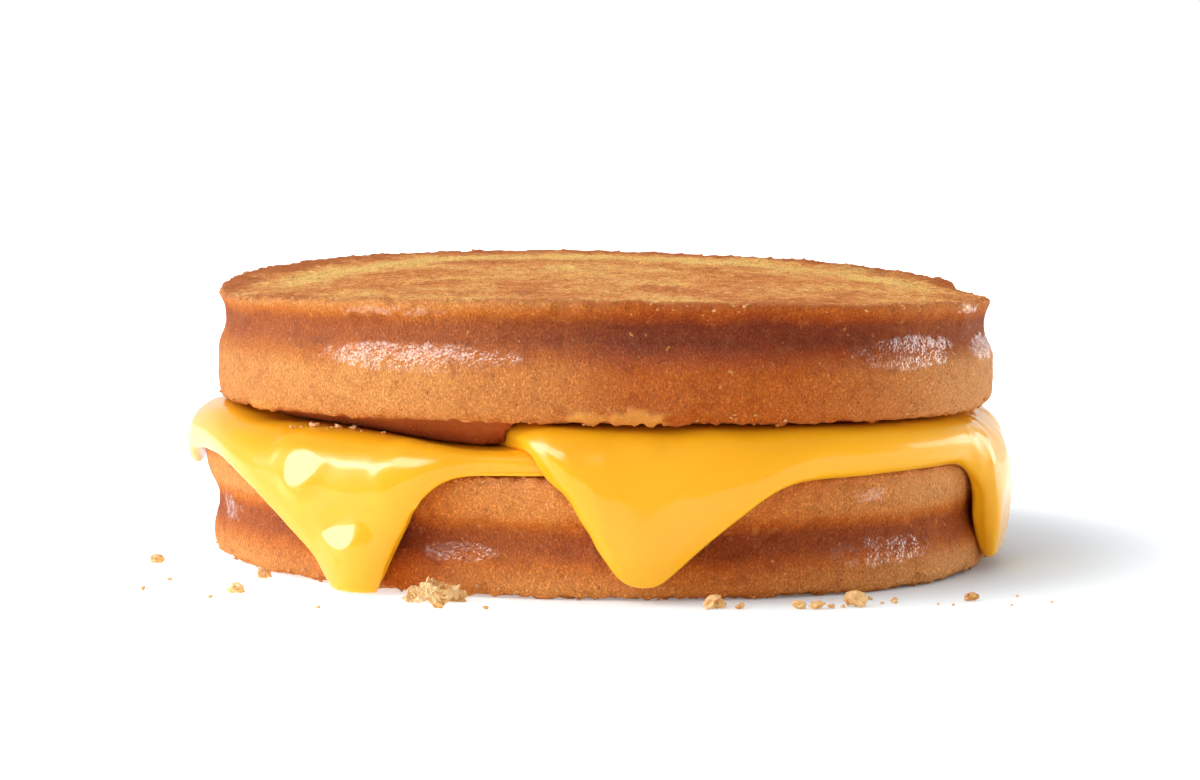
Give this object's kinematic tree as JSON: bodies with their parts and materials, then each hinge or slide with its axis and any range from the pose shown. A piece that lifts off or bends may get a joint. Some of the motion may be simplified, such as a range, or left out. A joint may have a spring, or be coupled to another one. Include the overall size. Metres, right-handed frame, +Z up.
{
  "type": "grilled cheese sandwich",
  "caption": "Grilled cheese sandwich of thick-cut round toast with melted cheese slices that hang over the lower toast in pointed drips",
  "frame": {"origin": "middle of the bounding box's foot, on the surface the sandwich lies on", "axes": "+X along the widest extent, to the right seen from the front where the drips hang; +Y to the back; +Z up"},
  "size_m": [0.1408, 0.1214, 0.0479],
  "materials": {
    "toasted_bread": "satin",
    "melted_cheese": "glossy"
  },
  "bodies": {
    "root": {"bread_bottom": "toasted_bread", "cheese_left": "melted_cheese", "cheese_right": "melted_cheese", "bread_top": "toasted_bread"}
  },
  "joints": []
}
